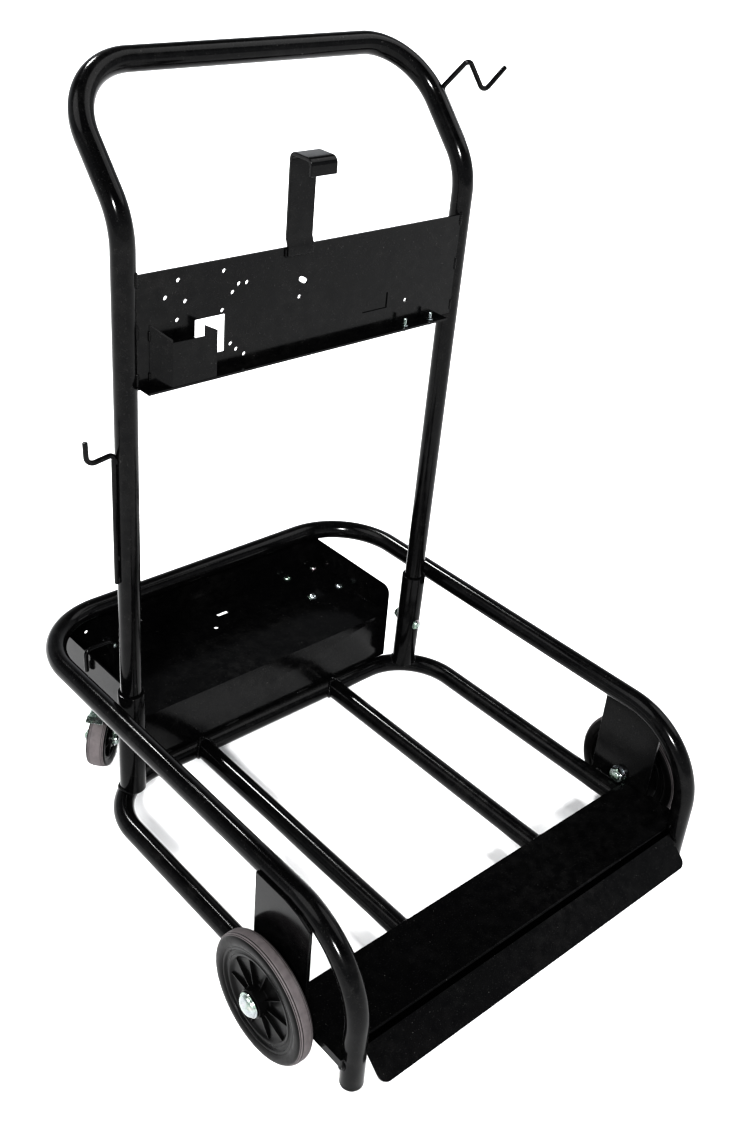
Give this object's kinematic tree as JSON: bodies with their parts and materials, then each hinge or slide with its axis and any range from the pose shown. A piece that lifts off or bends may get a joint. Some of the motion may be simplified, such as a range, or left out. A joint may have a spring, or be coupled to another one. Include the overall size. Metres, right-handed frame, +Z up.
{
  "type": "welding cart",
  "caption": "Tubular steel cart for a wire-feed welder and its gas cylinder, gloss black, with fixed front wheels, swivel rear casters, toe plate, cylinder tray and push handle.",
  "frame": {"origin": "on the floor, under the middle of the cart: the bottom centre of its bounding box", "axes": "+Z up; +Y from the toe plate towards the cylinder tray and push handle; +X to the right of someone facing along +Y"},
  "size_m": [0.6454, 0.6894, 0.8999],
  "materials": {
    "paint_black": "gloss black powder coat",
    "zinc": "bright zinc plate",
    "tyre_grey": "matt grey rubber",
    "plastic_black": "moulded black plastic"
  },
  "bodies": {
    "frame": {"axle_cap_left": "zinc", "axle_cap_right": "zinc", "axle_nut_left": "zinc", "axle_nut_right": "zinc", "axle_pin_left": "zinc", "axle_pin_right": "zinc", "cable_hook_left": "paint_black", "cable_hook_right": "paint_black", "cage_rail": "paint_black", "caster_bolt_left_1": "zinc", "caster_bolt_left_2": "zinc", "caster_bolt_left_3": "zinc", "caster_bolt_left_4": "zinc", "caster_bolt_right_1": "zinc", "caster_bolt_right_2": "zinc", "caster_bolt_right_3": "zinc", "caster_bolt_right_4": "zinc", "caster_plate_left": "zinc", "caster_plate_right": "zinc", "caster_riser_left": "paint_black", "caster_riser_right": "paint_black", "cylinder_stay": "paint_black", "cylinder_tray": "paint_black", "inner_rail_left": "paint_black", "inner_rail_right": "paint_black", "leg_plug_left": "plastic_black", "leg_plug_right": "plastic_black", "lower_frame_tube": "paint_black", "mast_handle": "paint_black", "mast_panel": "paint_black", "panel_stud_left": "zinc", "panel_stud_right": "zinc", "post_bolt_left": "zinc", "post_bolt_right": "zinc", "post_nut_left": "zinc", "post_nut_right": "zinc", "post_socket_left": "paint_black", "post_socket_right": "paint_black", "toe_plate": "paint_black", "torch_holder": "paint_black", "tray_keeper_rod": "paint_black", "wheel_bracket_left": "paint_black", "wheel_bracket_right": "paint_black"},
    "front_wheel_left": {"front_tyre_left": "tyre_grey", "front_hub_left": "plastic_black", "front_bush_left": "zinc"},
    "caster_swivel_left": {"caster_fork_left": "zinc", "caster_axle_left": "zinc"},
    "caster_wheel_left": {"caster_tyre_left": "tyre_grey", "caster_hub_left": "plastic_black"},
    "caster_brake_left": {"brake_pedal_left": "zinc"},
    "front_wheel_right": {"front_tyre_right": "tyre_grey", "front_hub_right": "plastic_black", "front_bush_right": "zinc"},
    "caster_swivel_right": {"caster_fork_right": "zinc", "caster_axle_right": "zinc"},
    "caster_wheel_right": {"caster_tyre_right": "tyre_grey", "caster_hub_right": "plastic_black"},
    "caster_brake_right": {"brake_pedal_right": "zinc"}
  },
  "joints": [
    {"name": "front_wheel_spin_left", "type": "hinge", "parent": "frame", "child": "front_wheel_left", "pos_m": [-0.298, -0.21, 0.0735], "axis": [1, 0, 0], "continuous": true},
    {"name": "caster_swivel_left", "type": "hinge", "parent": "frame", "child": "caster_swivel_left", "pos_m": [-0.172, 0.296, 0.092], "axis": [0, 0, 1], "continuous": true},
    {"name": "caster_spin_left", "type": "hinge", "parent": "caster_swivel_left", "child": "caster_wheel_left", "pos_m": [-0.19513, 0.27536, 0.038], "axis": [0.6657, -0.7462, 0], "continuous": true},
    {"name": "brake_pedal_left", "type": "hinge", "parent": "caster_swivel_left", "child": "caster_brake_left", "pos_m": [-0.1817, 0.28735, 0.0835], "axis": [0.6657, -0.7462, 0], "range_deg": [0, 15]},
    {"name": "front_wheel_spin_right", "type": "hinge", "parent": "frame", "child": "front_wheel_right", "pos_m": [0.298, -0.21, 0.0735], "axis": [1, 0, 0], "continuous": true},
    {"name": "caster_swivel_right", "type": "hinge", "parent": "frame", "child": "caster_swivel_right", "pos_m": [0.172, 0.296, 0.092], "axis": [0, 0, 1], "continuous": true},
    {"name": "caster_spin_right", "type": "hinge", "parent": "caster_swivel_right", "child": "caster_wheel_right", "pos_m": [0.14887, 0.27536, 0.038], "axis": [0.6657, -0.7462, 0], "continuous": true},
    {"name": "brake_pedal_right", "type": "hinge", "parent": "caster_swivel_right", "child": "caster_brake_right", "pos_m": [0.1623, 0.28735, 0.0835], "axis": [0.6657, -0.7462, 0], "range_deg": [0, 15]}
  ]
}
